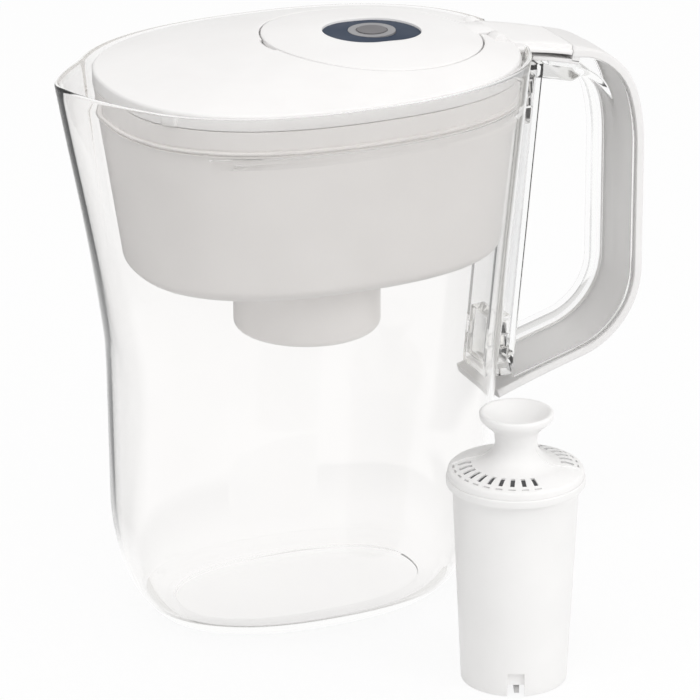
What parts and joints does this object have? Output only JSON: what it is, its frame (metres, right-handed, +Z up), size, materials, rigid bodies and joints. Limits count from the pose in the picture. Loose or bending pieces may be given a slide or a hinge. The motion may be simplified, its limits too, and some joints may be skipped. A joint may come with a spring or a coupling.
{
  "type": "water filter pitcher",
  "caption": "Clear spouted jug with a clipped-on handle, a lift-out reservoir with a filter collar, a crowned lid with a round flip door and indicator, and a filter cartridge beside it.",
  "frame": {"origin": "centre of the jug's oval plan, on the plane of its flat foot", "axes": "+Z up, +X towards the handle, -X towards the spout, -Y towards the standing cartridge"},
  "size_m": [0.2626, 0.219, 0.2497],
  "materials": {
    "clear_jug": "polished",
    "clear_handle": "polished",
    "white_shell": "satin",
    "white_tub": "satin",
    "white_small": "matte",
    "label_blue": "satin",
    "ring_grey": "satin",
    "button_grey": "matte",
    "board_green": "satin",
    "switch_metal": "brushed",
    "led_lens": "gloss",
    "cell_steel": "brushed",
    "spring_brass": "satin",
    "seal_rubber": "matte",
    "cartridge_white": "satin",
    "screen_mesh": "matte",
    "carbon": "matte"
  },
  "bodies": {
    "jug_body": {"jug": "clear_jug", "handle_frame": "clear_handle", "handle_cover": "white_shell"},
    "reservoir_body": {"reservoir": "white_tub", "filter_collar": "white_tub"},
    "lid_body": {"lid": "white_shell"},
    "door_body": {"flip_door": "white_shell", "indicator_housing": "white_small", "indicator_face": "label_blue", "light_ring": "ring_grey", "circuit_board": "board_green", "switch": "switch_metal", "leds": "led_lens", "coin_cell": "cell_steel", "cell_clip": "spring_brass", "indicator_back": "white_small", "indicator_seal": "seal_rubber"},
    "button_body": {"indicator_button": "button_grey"},
    "cartridge_body": {"cartridge_shell": "cartridge_white", "cartridge_cap": "cartridge_white", "inlet_screen": "screen_mesh", "filter_media": "carbon", "outlet_screen": "screen_mesh"}
  },
  "joints": [
    {"name": "reservoir_lift", "type": "slide", "parent": "jug_body", "child": "reservoir_body", "axis": [0, 0, 1], "range_m": [0, 0.13]},
    {"name": "lid_lift", "type": "slide", "parent": "reservoir_body", "child": "lid_body", "axis": [0, 0, 1], "range_m": [0, 0.06]},
    {"name": "door_flip", "type": "hinge", "parent": "lid_body", "child": "door_body", "pos_m": [0.0882, 0, 0.24074], "axis": [0, 1, 0], "range_deg": [0, 100]},
    {"name": "button_press", "type": "slide", "parent": "door_body", "child": "button_body", "axis": [0, 0, -1], "range_m": [0, 0.0008], "stiffness_N_per_m": 600},
    {"name": "cartridge_lift", "type": "slide", "parent": "jug_body", "child": "cartridge_body", "axis": [0, 0, 1], "range_m": [0, 0.15]}
  ]
}
